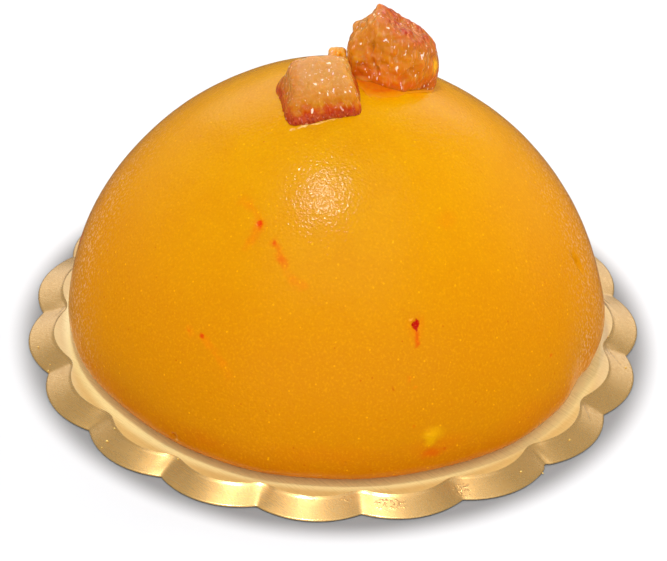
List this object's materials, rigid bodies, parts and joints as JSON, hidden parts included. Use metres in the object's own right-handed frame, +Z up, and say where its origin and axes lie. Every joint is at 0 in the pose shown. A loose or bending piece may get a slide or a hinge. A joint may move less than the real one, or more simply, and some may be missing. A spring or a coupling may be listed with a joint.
{
  "type": "glazed dome mousse cake",
  "caption": "Single-portion half-sphere mousse cake under a yellow glaze, topped with cooked fruit chunks, on a scalloped gold tray.",
  "frame": {"origin": "middle of the tray on the surface that it stands on", "axes": "+Z up; -Y towards the front, where the dome shows its red specks; +X to the right seen from the front"},
  "size_m": [0.0914, 0.0916, 0.0521],
  "materials": {
    "gold_tray": "satin gold foil pressed on thin card, finely brushed",
    "glaze": "smooth, slightly grainy yellow-orange glaze, soft gloss",
    "fruit": "moist cooked fruit flesh with browned edges, wet gloss"
  },
  "bodies": {
    "root": {"tray": "gold_tray", "dome": "glaze", "fruit_front": "fruit", "fruit_back": "fruit", "fruit_scrap": "fruit"}
  },
  "joints": []
}
